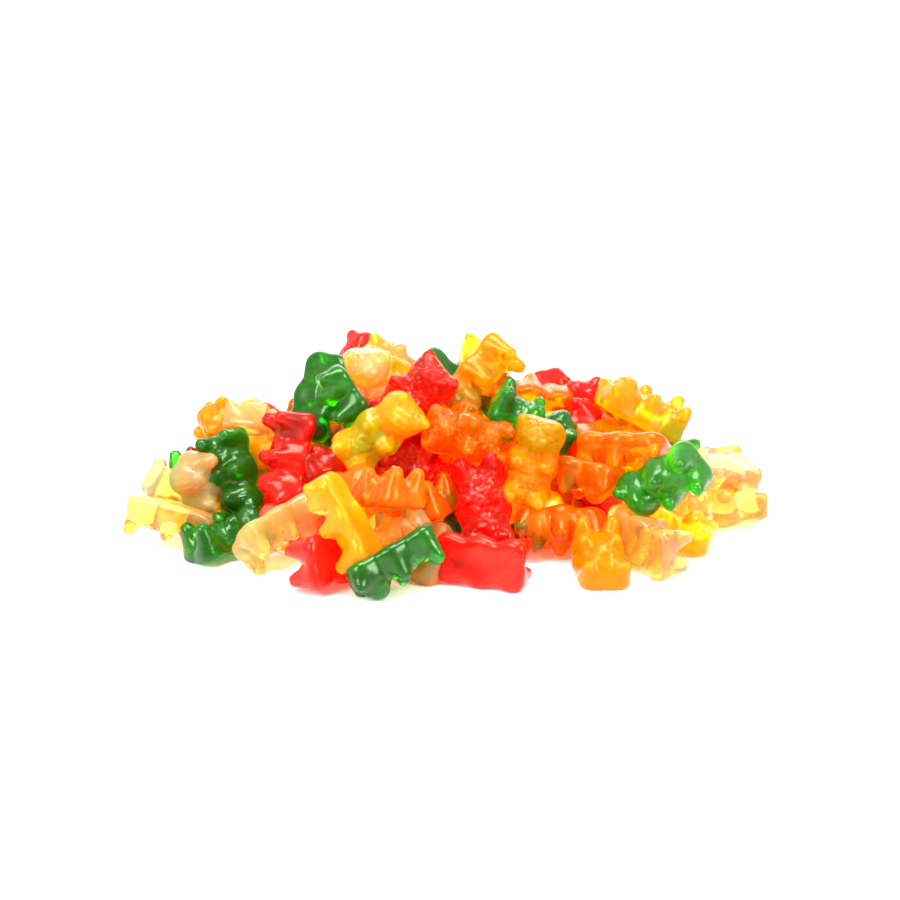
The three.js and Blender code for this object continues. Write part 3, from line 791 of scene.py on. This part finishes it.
@dataclass(frozen=True)
class Heap:
    """All the bears: those of the serving side, turned copies at the back, and a layer inside.

    Balls stand for a bear: pairs down its back at the y of `side_balls`, out and forward by
    `side_at`, and the further `balls`, as x, y, z and radius. Bears on the table give way by
    `give_table`, those with a lift under nil by `give_sunk` and others by one. `middle` is the
    middle of the outline in plan, and all bears stay `clear` of the table.

    Bears in front of y `far_from` with a lift over `sunk` have copies, which turn about y
    `far_middle`, go down by `far_drop`, swing by up to `far_swing` and draw in by `far_share`.

    Inside, `inner_count` bears are tried, `inner_under` the shell and out to `inner_share` of it,
    with `inner_rise` for how steeply they may lie. They may press by `inner_press`, and one whose
    push is still `inner_left` after `inner_rounds` has no room.
    """

    view: Viewpoint = Viewpoint()
    shell: Shell = Shell()
    settling: Settling = Settling()
    form: BearForm = BearForm()
    side_balls: tuple[float, ...] = (3.0, 8.3, 13.6, 18.9)
    side_at: Pair = (2.9, 2.9)
    side_radius: float = 2.8
    balls: tuple[tuple[float, float, float, float], ...] = (
        (0, 17.4, 4.6, 4.2), (0, 9.0, 3.9, 3.8), (0, 17.0, 7.2, 2.3),
        (-2.9, 2.5, 7.9, 1.7), (2.9, 2.5, 7.9, 1.7), (-2.9, 10.7, 7.2, 1.8), (2.9, 10.7, 7.2, 1.8),
    )
    give_table: float = 0.3
    give_sunk: float = 3.0
    sunk: float = -8.5
    far_from: float = -5.0
    far_middle: float = 7.0
    far_drop: float = 4.0
    far_swing: float = np.radians(35.0)
    far_share: float = 0.95
    middle: Pair = (0.0, 6.9)
    clear: float = 0.02
    inner_count: int = 40
    inner_under: float = 13.0
    inner_share: float = 0.8
    inner_rise: float = 0.45
    inner_press: float = 2.0
    inner_rounds: int = 40
    inner_left: float = 2.5
    inner_seed: int = 11

    @property
    def datum(self) -> np.ndarray:
        """The model's origin: the spot of the table under the middle of the heap's outline."""
        return np.array([*self.middle, 0.0])

    def placed(self, frames: np.ndarray, sizes: np.ndarray) -> tuple[np.ndarray, np.ndarray]:
        """The balls that stand for each bear.

        Args:
            frames: Each bear's axes as columns.
            sizes: Each bear's size.

        Returns:
            The balls' middles about the bear's own, turned to its frame, and their radii.
        """
        across, front = self.side_at
        both = (-across, across)
        sides = [(x, y, front, self.side_radius) for y in self.side_balls for x in both]
        own = np.array(sides + list(self.balls), float)
        balls = np.einsum("nij,kj->nki", frames, own[:, :3] - self.form.centre)
        return balls * sizes[:, None, None], own[None, :, 3] * sizes[:, None]

    def shown(self) -> Lying:
        """The bears of the serving side as they start out.

        Returns:
            The bears, each on its line of sight: off the shell by its lift, or down on the table.
        """
        poses = ON_TABLE + ON_HEAP
        frames = np.stack([self.view.frame(pose) for pose in poses])
        sizes = np.array([pose.size for pose in poses])
        lines = np.stack([self.view.line(pose.at) for pose in poses])
        lifts = np.array([float(pose.lift) for pose in poses])
        on_table = np.arange(len(poses)) < len(ON_TABLE)
        balls, radii = self.placed(frames, sizes)
        to_shell = np.array([self.shell.meets(self.view, line) for line in lines]) - lifts
        to_table = (-lowest(balls, radii) - self.view.eye[2]) / lines[:, 2]
        return Lying(
            frames=frames,
            sizes=sizes,
            places=self.view.eye + lines * np.where(on_table, to_table, to_shell)[:, None],
            lines=lines,
            eyes=np.repeat(self.view.eye[None], len(poses), 0),
            balls=balls,
            radii=radii,
            gives=np.where(on_table, self.give_table, np.where(lifts < 0, self.give_sunk, 1.0)),
            on_table=on_table,
            lifts=lifts,
            rumples=np.array([pose.rumple for pose in poses]),
            flavours=[pose.flavour for pose in poses],
        )

    def to_back(self, points: np.ndarray, drop: np.ndarray) -> np.ndarray:
        """Points turned half round about the far side's middle, drawn in and let down."""
        x, y, z = points.T
        return np.stack([-self.far_share * x, 2 * self.far_middle - y, z - drop], 1)

    def behind(self, shown: Lying) -> Lying:
        """The bears of the far side as they start out.

        Args:
            shown: The bears of the serving side as they start out.

        Returns:
            Copies of the front ones, turned half round about the middle, let down and swung.
        """
        pick = np.flatnonzero((shown.places[:, 1] < self.far_from) & (shown.lifts > self.sunk))
        order = np.arange(len(pick))
        swing = turned(self.far_swing * (2 * ((order * GOLDEN) % 1) - 1))
        half = turned(np.array(np.pi))
        drop = np.where(shown.on_table[pick], 0.0, self.far_drop)
        return Lying(
            frames=swing @ half @ shown.frames[pick],
            sizes=shown.sizes[pick],
            places=self.to_back(shown.places[pick], drop),
            lines=shown.lines[pick] @ half.T,
            eyes=self.to_back(shown.eyes[pick], drop),
            balls=np.einsum("nij,nkj->nki", swing @ half, shown.balls[pick]),
            radii=shown.radii[pick],
            gives=shown.gives[pick],
            on_table=shown.on_table[pick],
            lifts=shown.lifts[pick],
            rumples=shown.rumples[pick],
            flavours=[FAR_FLAVOURS[index % len(FAR_FLAVOURS)] for index in order],
        )

    def outer(self) -> Lying:
        """The bears of both sides.

        Returns:
            The bears, settled.
        """
        shown = self.shown()
        bears = shown.joined(self.behind(shown))
        self.settling.settle(bears)
        return bears

    def laid(self, points: np.ndarray, bears: Lying, index: int) -> np.ndarray:
        """Points of one bear as it lies.

        Args:
            points: Points in its own frame, about its middle.
            bears: The bears.
            index: Which of them it is.

        Returns:
            The points about the datum, those that would be in the table lifted just clear of it.
        """
        points = points * bears.sizes[index] @ bears.frames[index].T
        points = points + bears.places[index] - self.datum
        points[:, 2] = np.maximum(points[:, 2], self.clear)
        return points

    def inside(self, outer: Lying) -> Lying:
        """A layer of bears under the outer ones.

        Args:
            outer: The settled outer bears, which stay where they are.

        Returns:
            Bears whose plan places wind out from the middle by the golden angle, as far out as the
            square root of their share, with a drawn turn each. They are pushed apart between the
            table and a mound that lies a way under the shell. Those with no room are left out.
        """
        draw = np.random.default_rng(self.inner_seed)
        count = self.inner_count
        order = np.arange(count) + 0.5
        turn, out = order * 2 * np.pi * GOLDEN, np.sqrt(order / count) * self.inner_share
        x = self.shell.across * out * np.cos(turn)
        y = self.shell.middle + self.shell.along * out * np.sin(turn)
        axes = draw.normal(size=(count, 2, 3)) * np.array([1.0, 1.0, self.inner_rise])
        heads = axes[:, 0] / np.linalg.norm(axes[:, 0], axis=1, keepdims=True)
        fronts = axes[:, 1] - np.sum(axes[:, 1] * heads, 1, keepdims=True) * heads
        fronts /= np.linalg.norm(fronts, axis=1, keepdims=True)
        frames = np.stack([np.cross(heads, fronts), heads, fronts], -1)
        sizes = np.ones(count)
        balls, radii = self.placed(frames, sizes)
        low = lowest(balls, radii)
        places = np.stack([x, y, self.shell.height(x, y) - self.inner_under], 1)
        picks = draw.integers(0, len(HIDDEN_FLAVOURS), count)
        layer = Lying(
            frames=frames,
            sizes=sizes,
            places=places,
            lines=np.tile([0.0, 0.0, -1.0], (count, 1)),
            eyes=places.copy(),
            balls=balls,
            radii=radii,
            gives=np.ones(count),
            on_table=np.zeros(count, bool),
            lifts=np.zeros(count),
            rumples=np.zeros(count),
            flavours=[HIDDEN_FLAVOURS[index] for index in picks],
        )
        both = replace(outer, gives=np.zeros(len(outer.sizes))).joined(layer)
        mine = slice(len(outer.sizes), None)
        rule = replace(self.settling, press=self.inner_press)
        for _ in range(self.inner_rounds):
            places = both.places[mine] + rule.ease * rule.pushes(both)[mine]
            roof = self.shell.height(places[:, 0], places[:, 1]) - self.inner_under
            places[:, 2] = np.clip(places[:, 2], -low, np.maximum(roof, -low))
            both.places[mine] = places
        left = np.linalg.norm(rule.pushes(both)[mine], axis=1)
        return replace(layer, places=places).kept((roof >= -low) & (left < self.inner_left))


# ---- finishes ----


def spread(tree: bpy.types.NodeTree, value: Socket, start: Pair, end: Pair) -> Socket:
    """A value moved from one range to another.

    Args:
        tree: The node tree.
        value: The value.
        start: The range that it is in.
        end: What the ends of that range become.

    Returns:
        The value in the new range, kept within it.
    """
    node = tree.nodes.new("ShaderNodeMapRange")
    for name, number in zip(("From Min", "From Max", "To Min", "To Max"), (*start, *end)):
        node.inputs[name].default_value = number
    tree.links.new(value, node.inputs["Value"])
    return node.outputs["Result"]


class Nodes:
    """A node material with a Principled shader, and short ways to add to it.

    `usual` is the range in which most of a noise value lies.
    """

    usual: Pair = (0.3, 0.7)

    def __init__(self, name: str) -> None:
        """Makes the material.

        Args:
            name: The material's name.
        """
        self.material = bpy.data.materials.new(name)
        self.material.use_nodes = True
        self.tree = self.material.node_tree
        self.shader = self.tree.nodes["Principled BSDF"]
        self.output = self.tree.nodes["Material Output"]

    def add(self, kind: str, **values: object) -> bpy.types.Node:
        """A new node.

        Args:
            kind: Its type.
            values: Properties to set.

        Returns:
            The node.
        """
        node = self.tree.nodes.new(kind)
        for name, value in values.items():
            setattr(node, name, value)
        return node

    def link(self, start: Socket, end: Socket) -> None:
        """Joins two sockets."""
        self.tree.links.new(start, end)

    def feed(self, name: str, value: Socket) -> None:
        """Joins a value to an input of the shader."""
        self.link(value, self.shader.inputs[name])

    def plain(self, **values: float | tuple[float, ...]) -> None:
        """Sets plain inputs of the shader, each by its name with _ for a space."""
        for name, value in values.items():
            self.shader.inputs[name.replace("_", " ")].default_value = value

    def attribute(self, name: str) -> bpy.types.Node:
        """A node that reads an attribute of the mesh."""
        return self.add("ShaderNodeAttribute", attribute_name=name)

    def noise(self, scale: float, detail: float = 2.0, roughness: float = 0.5) -> Socket:
        """Noise over the object.

        Args:
            scale: Lumps a metre.
            detail: How many finer layers it has.
            roughness: How strong these are.

        Returns:
            Its value, from 0 to 1.
        """
        node = self.add("ShaderNodeTexNoise")
        node.inputs["Scale"].default_value = scale
        node.inputs["Detail"].default_value = detail
        node.inputs["Roughness"].default_value = roughness
        self.link(self.add("ShaderNodeTexCoord").outputs["Object"], node.inputs["Vector"])
        return node.outputs["Fac"]

    def product(self, first: Socket, second: Socket) -> Socket:
        """Two values multiplied.

        Args:
            first: The one.
            second: The other.

        Returns:
            The product.
        """
        node = self.add("ShaderNodeMath", operation="MULTIPLY")
        self.link(first, node.inputs[0])
        self.link(second, node.inputs[1])
        return node.outputs[0]

    def span(self, value: Socket, ends: Pair) -> Socket:
        """A noise value spread over a range.

        Args:
            value: The noise value. Most of it lies in the usual range.
            ends: What the ends of the usual range become.

        Returns:
            The value spread out, kept within the ends.
        """
        return spread(self.tree, value, self.usual, ends)


@dataclass(frozen=True)
class Gum:
    """Clear fruit gum.

    `body` is the colour that it scatters back, and `deep` the same where a batch is darker.
    `through` is the share of red, green and blue that passes `thickness` of it, and `sheen` the
    tint of what its skin mirrors. `clarity` is the share of light that it lets in, `bend` its index
    of refraction, and `glow` and `glow_reach` are how much it scatters and how far. Soft clouds
    deepen the batch's colour by `cloud_deepens` and change the skin's `roughness`. On the skin is a
    fine grain, raised by `bump` of `bump_height`.
    """

    flavour: Flavour
    body: Triple
    deep: Triple
    through: Triple
    sheen: Triple
    clarity: float
    thickness: float = 10.0
    bend: float = 1.4
    glow: float = 0.9
    glow_reach: float = 10.0
    cloud_scale: float = 150.0
    cloud_deepens: Pair = (0.4, 1.6)
    roughness: Pair = (0.16, 0.24)
    grain_scale: float = 900.0
    grain_detail: float = 3.0
    grain_roughness: float = 0.6
    bump: float = 0.06
    bump_height: float = 0.2

    def absorption(self) -> tuple[Triple, float]:
        """Colour and density of the absorption.

        Returns:
            The density is the strongest of -ln(through) / thickness, a metre, and the colour is one
            less each channel's share of it.
        """
        loss = -np.log(np.array(self.through)) / (self.thickness * MM)
        density = float(loss.max())
        colour = 1.0 - loss / density
        return (float(colour[0]), float(colour[1]), float(colour[2])), density

    def material(self) -> bpy.types.Material:
        """The gum as a material.

        Returns:
            Its body colour goes over to the deep one by the attribute batch times a cloud, which
            also makes its skin smoother and rougher. A fine grain is on the skin.
        """
        tree = Nodes(f"gum_{self.flavour.value}")
        cloud = tree.noise(self.cloud_scale)
        shade = tree.add("ShaderNodeMix", data_type="RGBA")
        shade.inputs[6].default_value = (*self.body, 1.0)
        shade.inputs[7].default_value = (*self.deep, 1.0)
        batch = tree.attribute("batch").outputs["Fac"]
        tree.link(tree.product(batch, tree.span(cloud, self.cloud_deepens)), shade.inputs[0])
        tree.feed("Base Color", shade.outputs[2])
        tree.feed("Roughness", tree.span(cloud, self.roughness))
        bump = tree.add("ShaderNodeBump")
        bump.inputs["Strength"].default_value = self.bump
        bump.inputs["Distance"].default_value = self.bump_height * MM
        grain = tree.noise(self.grain_scale, self.grain_detail, self.grain_roughness)
        tree.link(grain, bump.inputs["Height"])
        tree.feed("Normal", bump.outputs["Normal"])
        tree.plain(
            Transmission_Weight=self.clarity,
            IOR=self.bend,
            Specular_Tint=(*self.sheen, 1.0),
            Subsurface_Weight=self.glow,
            Subsurface_Scale=self.glow_reach * MM,
            Subsurface_Radius=self.body,
        )
        colour, density = self.absorption()
        soak = tree.add("ShaderNodeVolumeAbsorption")
        soak.inputs["Color"].default_value = (*colour, 1.0)
        soak.inputs["Density"].default_value = density
        tree.link(soak.outputs["Volume"], tree.output.inputs["Volume"])
        return tree.material


@dataclass(frozen=True)
class CloudyGum:
    """The cloudy gum of the bears inside, which takes its colour from the attribute tint."""

    glow: float = 0.6
    glow_reach: float = 4.0
    cloud_scale: float = 150.0
    roughness: Pair = (0.2, 0.4)

    def material(self) -> bpy.types.Material:
        """The gum as a material.

        Returns:
            It scatters light back and lets none through.
        """
        tree = Nodes("gum_hidden")
        tree.feed("Base Color", tree.attribute("tint").outputs["Color"])
        tree.feed("Roughness", tree.span(tree.noise(self.cloud_scale), self.roughness))
        tree.plain(Subsurface_Weight=self.glow, Subsurface_Scale=self.glow_reach * MM)
        return tree.material


@dataclass(frozen=True)
class DenseGum:
    """The gum of the core: two colours, each with the cloud's value from which it is pure."""

    lumps: tuple[tuple[float, Triple], ...] = ((0.35, (1.0, 0.12, 0.01)), (0.65, (1.0, 0.5, 0.03)))
    cloud_scale: float = 110.0
    roughness: Pair = (0.25, 0.5)

    def material(self) -> bpy.types.Material:
        """The gum as a material.

        Returns:
            A ramp between the two colours along a cloud.
        """
        tree = Nodes("gum_core")
        cloud = tree.noise(self.cloud_scale)
        ramp = tree.add("ShaderNodeValToRGB")
        for stop, (place, colour) in zip(ramp.color_ramp.elements, self.lumps):
            stop.position, stop.color = place, (*colour, 1.0)
        tree.link(cloud, ramp.inputs["Fac"])
        tree.feed("Base Color", ramp.outputs["Color"])
        tree.feed("Roughness", tree.span(cloud, self.roughness))
        return tree.material


@dataclass(frozen=True)
class TableWhite:
    """The table's white, with a faint gloss and a faint glow of its own to keep it bright."""

    white: float = 0.78
    glow: float = 0.06
    cloud_scale: float = 3.0
    roughness: Pair = (0.28, 0.34)

    def material(self) -> bpy.types.Material:
        """The white as a material.

        Returns:
            It is even, but for a cloud in its roughness.
        """
        tree = Nodes("white_table")
        tree.feed("Roughness", tree.span(tree.noise(self.cloud_scale), self.roughness))
        tree.plain(
            Base_Color=(self.white, self.white, self.white, 1.0),
            Emission_Color=(1.0, 1.0, 1.0, 1.0),
            Emission_Strength=self.glow,
        )
        return tree.material


GUMS: tuple[Gum, ...] = (
    Gum(
        Flavour.RED, body=(1.0, 0.045, 0.02), deep=(0.97, 0.02, 0.013),
        through=(1.0, 0.04, 0.02), sheen=(1.0, 0.55, 0.4), clarity=0.84,
    ),
    Gum(
        Flavour.ORANGE, body=(1.0, 0.46, 0.004), deep=(1.0, 0.33, 0.003),
        through=(1.0, 0.52, 0.004), sheen=(1.0, 0.62, 0.18), clarity=0.9,
    ),
    Gum(
        Flavour.AMBER, body=(1.0, 0.57, 0.005), deep=(1.0, 0.44, 0.003),
        through=(1.0, 0.6, 0.005), sheen=(1.0, 0.72, 0.25), clarity=0.82,
    ),
    Gum(
        Flavour.YELLOW, body=(1.0, 0.68, 0.007), deep=(1.0, 0.5, 0.005),
        through=(1.0, 0.72, 0.006), sheen=(1.0, 0.84, 0.3), clarity=0.79,
    ),
    Gum(
        Flavour.GREEN, body=(0.09, 0.58, 0.025), deep=(0.04, 0.32, 0.012),
        through=(0.12, 0.57, 0.04), sheen=(0.7, 1.0, 0.6), clarity=0.9,
    ),
    Gum(
        Flavour.PALE, body=(1.0, 0.84, 0.4), deep=(1.0, 0.74, 0.28),
        through=(1.0, 0.8, 0.32), sheen=(1.0, 0.95, 0.7), clarity=0.92,
    ),
    Gum(
        Flavour.PEACH, body=(1.0, 0.77, 0.28), deep=(1.0, 0.65, 0.19),
        through=(1.0, 0.8, 0.32), sheen=(1.0, 0.88, 0.6), clarity=0.84,
    ),
)


# ---- meshes ----


def linked(name: str, data: bpy.types.ID) -> bpy.types.Object:
    """A new object in the scene.

    Args:
        name: Its name.
        data: Its mesh, light or camera.

    Returns:
        The object, at the origin.
    """
    thing = bpy.data.objects.new(name, data)
    bpy.context.scene.collection.objects.link(thing)
    return thing


@dataclass
class MeshParts:
    """Points and faces of several grids, gathered for one mesh, with values for each grid."""

    points: list[np.ndarray] = field(default_factory=list)
    quads: list[np.ndarray] = field(default_factory=list)
    fans: list[np.ndarray] = field(default_factory=list)
    values: dict[str, list[np.ndarray]] = field(default_factory=dict)
    count: int = 0

    def add(self, points: np.ndarray, grid: Grid, **values: float | Triple) -> None:
        """Adds a grid.

        Args:
            points: Where its points are, in millimetres.
            grid: The grid, for its faces.
            values: Attributes that are the same all over it, each a number or a colour.
        """
        self.points.append(points)
        self.quads.append(grid.quads + self.count)
        self.fans.append(grid.fans + self.count)
        for name, value in values.items():
            self.values.setdefault(name, []).append(np.tile(np.atleast_1d(value), (len(points), 1)))
        self.count += len(points)

    def dress(self, mesh: bpy.types.Mesh) -> None:
        """Puts the values on a mesh as attributes.

        Args:
            mesh: The mesh of the gathered points.
        """
        for name, rows in self.values.items():
            data, kind, entry = np.concatenate(rows).astype(np.float32), "FLOAT", "value"
            if data.shape[1] > 1:
                data = np.hstack([data, np.ones((len(data), 1), np.float32)])
                kind, entry = "FLOAT_COLOR", "color"
            mesh.attributes.new(name, kind, "POINT").data.foreach_set(entry, data.ravel())

    def object(self, name: str, material: bpy.types.Material) -> bpy.types.Object:
        """All the grids as one smooth object.

        Args:
            name: The name of the object and of its mesh.
            material: The finish.

        Returns:
            The object, in metres.
        """
        parts = (self.points, self.quads, self.fans)
        points, quads, fans = (np.concatenate(part) for part in parts)
        mesh = bpy.data.meshes.new(name)
        mesh.vertices.add(len(points))
        mesh.vertices.foreach_set("co", (points * MM).ravel())
        around = np.concatenate([quads.ravel(), fans.ravel()]).astype(np.int32)
        sides = np.concatenate([np.full(len(faces), faces.shape[1]) for faces in (quads, fans)])
        starts = np.concatenate([[0], np.cumsum(sides)[:-1]]).astype(np.int32)
        mesh.loops.add(len(around))
        mesh.loops.foreach_set("vertex_index", around)
        mesh.polygons.add(len(sides))
        mesh.polygons.foreach_set("loop_start", starts)
        mesh.polygons.foreach_set("use_smooth", np.ones(len(sides), bool))
        mesh.update(calc_edges=True)
        mesh.validate()
        self.dress(mesh)
        mesh.materials.append(material)
        return linked(name, mesh)


@dataclass
class Pile:
    """The bears of one flavour, joined in one mesh.

    Crinkles fade in over `front_over` from `front_from` in front of the back, and the more the skin
    faces the front, times `facing`. Each bear has them from a place up to `drift` off.
    """

    gum: Gum
    heap: Heap
    grid: Grid
    crinkles: Ripples = Ripples(wavelength=1.9, waves=7, seed=5)
    variety: Variety = Variety()
    front_from: float = 3.5
    front_over: float = 3.0
    facing: float = 1.5
    drift: float = 50.0
    seed: int = 100

    def bear(self, draw: np.random.Generator, rumple: float) -> np.ndarray:
        """One bear's points in its own frame, about its middle.

        Args:
            draw: The seeded draw for this bear.
            rumple: How high its crinkles are.

        Returns:
            The mould's points raised along their normals by the crinkles where they face the front,
            and then warped.
        """
        form, points = self.heap.form, self.grid.points
        normal = form.normals(points)
        forward = np.clip((points[:, 2] - self.front_from) / self.front_over, 0, 1)
        front = forward * np.clip(normal[:, 2] * self.facing, 0, 1)
        shift = draw.uniform(-self.drift, self.drift, 3)
        raised = rumple * front * self.crinkles.height(points + shift)
        points = points + normal * raised[:, None]
        return self.variety.warp(draw).apply(points, form) - form.centre

    def build(self, bears: Lying) -> bpy.types.Object:
        """The joined mesh.

        Args:
            bears: The outer bears of all flavours.

        Returns:
            The object, at the origin, in metres, with each bear's own draw as the attribute batch.
        """
        mesh = MeshParts()
        for index, flavour in enumerate(bears.flavours):
            if flavour is self.gum.flavour:
                draw = np.random.default_rng(self.seed + index)
                batch = float(draw.uniform())
                bear = self.bear(draw, bears.rumples[index])
                mesh.add(self.heap.laid(bear, bears, index), self.grid, batch=batch)
        return mesh.object(f"bears_{self.gum.flavour.value}", self.gum.material())


@dataclass
class Hidden:
    """The bears under the outer layer, joined in one mesh. They show through the outer ones."""

    heap: Heap
    grid: Grid
    gum: CloudyGum = CloudyGum()

    def build(self, bears: Lying) -> bpy.types.Object:
        """The joined mesh.

        Args:
            bears: The bears of the inner layer.

        Returns:
            The object, with each bear's own colour as the attribute tint.
        """
        tints = {gum.flavour: gum.body for gum in GUMS}
        mesh, points = MeshParts(), self.grid.points - self.heap.form.centre
        for index, flavour in enumerate(bears.flavours):
            mesh.add(self.heap.laid(points, bears, index), self.grid, tint=tints[flavour])
        return mesh.object("bears_hidden", self.gum.material())


@dataclass(frozen=True)
class Core:
    """The lumpy mass of gum deep inside, which shows only as a glow between the bears.

    It lies `under` the shell, drawn in by `share`. Its rim is looked for inwards from the shell's
    by `rim_step`, and the last ring is `last_turn` of a quarter turn up. It is `clear` of the table
    and nowhere thinner than `least`.
    """

    heap: Heap
    gum: DenseGum = DenseGum()
    share: float = 0.7
    under: float = 13.0
    rings: int = 40
    columns: int = 96
    last_turn: float = 0.98
    rim_step: float = 0.25
    rim_steps: int = 400
    least: float = 0.3
    clear: float = 0.05
    lumps: Ripples = Ripples(wavelength=13.0, waves=6, seed=3)
    lump_height: float = 1.6

    def height(self, x: np.ndarray, y: np.ndarray) -> np.ndarray:
        """The height of the core, without its lumps.

        Args:
            x: Places across.
            y: Places from front to back.

        Returns:
            The shell's height, drawn in by share about its middle, less under.
        """
        shell = self.heap.shell
        y = shell.middle + (y - shell.middle) / self.share
        return shell.height(x / self.share, y) - self.under

    def surface(self) -> Grid:
        """The core's closed grid.

        Returns:
            Rings of a mound. The first parameter runs from the rim of the flat base up to the top,
            the second goes round. A point's height is the shell's, drawn in by share about its
            middle, less under, plus lumps that fade towards the rim.
        """
        middle = self.heap.shell.middle
        out = np.cos(np.linspace(0.0, self.last_turn * np.pi / 2, self.rings))
        turn = np.arange(self.columns) / self.columns * 2 * np.pi
        outs, turns = np.meshgrid(out, turn, indexing="ij")
        reach = np.full(self.columns, self.heap.shell.across)
        for _ in range(self.rim_steps):
            x, y = reach * np.cos(turn), middle + reach * np.sin(turn)
            reach = np.where(self.height(x, y) < 0, reach - self.rim_step, reach)
        x = outs * reach * np.cos(turns)
        y = middle + outs * reach * np.sin(turns)
        flat = np.stack([x, y, 0 * x], -1)
        lumps = self.lumps.height(flat) * self.lump_height * np.sqrt(1 - outs**2)
        z = np.maximum(self.height(x, y) + lumps, self.least) * (outs < 1)
        rings = np.stack([x, y, z], -1).reshape(-1, 3)
        poles = np.array([[0.0, middle, 0.0], [0.0, middle, float(self.height(0.0, middle))]])
        points = np.vstack([rings, poles]) + np.array([0.0, 0.0, self.clear])
        return Grid.closed(points, self.rings, self.columns)

    def build(self) -> bpy.types.Object:
        """The core's object.

        Returns:
            The object, in metres, about the heap's datum.
        """
        grid, mesh = self.surface(), MeshParts()
        mesh.add(grid.points - self.heap.datum, grid)
        return mesh.object("heap_core", self.gum.material())


# ---- the studio ----


@dataclass(frozen=True)
class Lamp:
    """A rectangular soft box: where it hangs, what it faces, its width and height and its watts."""

    name: str
    place: Triple
    aim: Triple
    size: Pair
    power: float

    def hang(self) -> None:
        """Puts the lamp into the scene."""
        light = bpy.data.lights.new(self.name, "AREA")
        light.shape = "RECTANGLE"
        light.size, light.size_y = self.size[0] * MM, self.size[1] * MM
        light.energy = self.power
        box = linked(self.name, light)
        way = Vector(self.aim) - Vector(self.place)
        box.location = Vector(self.place) * MM
        box.rotation_euler = way.to_track_quat("-Z", "Y").to_euler()


LAMPS: tuple[Lamp, ...] = (
    Lamp("top_box", (0.0, -120.0, 620.0), (0.0, 0.0, 0.0), (380.0, 260.0), 7.5),
    Lamp("back_box", (60.0, 620.0, 420.0), (0.0, 0.0, 20.0), (700.0, 300.0), 3.4),
    Lamp("left_box", (-420.0, -460.0, 430.0), (0.0, 0.0, 20.0), (340.0, 320.0), 6.8),
    Lamp("right_box", (460.0, -380.0, 360.0), (0.0, 0.0, 20.0), (280.0, 300.0), 5.8),
)


@dataclass(frozen=True)
class Studio:
    """The white table, the white room and the camera.

    The room goes from `front_light` to `back_light` as the y of the way out goes over `fade`. The
    picture is `frame_pixels` wide, with a pixel of `pixel` millimetres at what the camera aims at.
    """

    table_half: float = 6000.0
    table_white: TableWhite = TableWhite()
    front_light: float = 0.7
    back_light: float = 1.6
    fade: Pair = (-0.9, 0.5)
    frame_pixels: int = 900
    pixel: float = 0.2366
    sensor: float = 36.0
    clip: Pair = (0.01, 50.0)
    bounces: tuple[tuple[str, int], ...] = (
        ("max_bounces", 32), ("transmission_bounces", 28),
        ("diffuse_bounces", 12), ("glossy_bounces", 8),
    )

    def table(self) -> bpy.types.Object:
        """A large white table.

        Returns:
            The object: a square, with its top at nil.
        """
        half = self.table_half * MM
        square = [(-half, -half, 0), (half, -half, 0), (half, half, 0), (-half, half, 0)]
        mesh = bpy.data.meshes.new("table")
        mesh.from_pydata(square, [], [tuple(range(len(square)))])
        mesh.materials.append(self.table_white.material())
        return linked("table", mesh)

    def room(self) -> None:
        """A white world, bright behind the heap and over it and dim at the serving side."""
        world = bpy.data.worlds.new("white_room")
        bpy.context.scene.world = world
        world.use_nodes = True
        tree = world.node_tree
        way = tree.nodes.new("ShaderNodeSeparateXYZ")
        tree.links.new(tree.nodes.new("ShaderNodeTexCoord").outputs["Generated"], way.inputs[0])
        light = spread(tree, way.outputs["Y"], self.fade, (self.front_light, self.back_light))
        sky = tree.nodes["Background"]
        sky.inputs["Color"].default_value = (1, 1, 1, 1)
        tree.links.new(light, sky.inputs["Strength"])

    def camera(self, heap: Heap) -> None:
        """The camera at the serving side.

        Args:
            heap: The heap, for the eye's place.
        """
        view = heap.view
        lens = bpy.data.cameras.new("camera")
        lens.sensor_width = self.sensor
        lens.lens = self.sensor * view.reach / (self.frame_pixels * self.pixel)
        lens.clip_start, lens.clip_end = self.clip
        eye = linked("camera", lens)
        eye.location = Vector((view.eye - heap.datum) * MM)
        eye.rotation_euler = Vector(view.aim - view.eye).to_track_quat("-Z", "Y").to_euler()
        bpy.context.scene.camera = eye


# ---- all of it ----


def main() -> None:
    """Builds the heap over the frame, then the studio, and reports each piece."""
    logging.basicConfig(level=logging.INFO, format="%(name)s: %(message)s")
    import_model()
    heap = Heap()
    outer = heap.outer()
    inner = heap.inside(outer)
    LOG.info("%d outer bears, %d inner bears", len(outer.sizes), len(inner.sizes))
    fine, coarse = heap.form.skin(*FINE), heap.form.skin(*COARSE)
    pieces = [Pile(gum, heap, fine).build(outer) for gum in GUMS]
    pieces += [Hidden(heap, coarse).build(inner), Core(heap).build()]
    for piece in pieces:
        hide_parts(NODE)
        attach(piece, BODY)
        LOG.info("%s: %d faces", piece.name, len(piece.data.polygons))
    studio = Studio()
    studio.table()
    studio.room()
    for lamp in LAMPS:
        lamp.hang()
    studio.camera(heap)
    scene = bpy.context.scene
    scene.view_settings.view_transform = "Standard"
    for kind, count in studio.bounces:
        setattr(scene.cycles, kind, count)


if __name__ == "__main__":
    main()
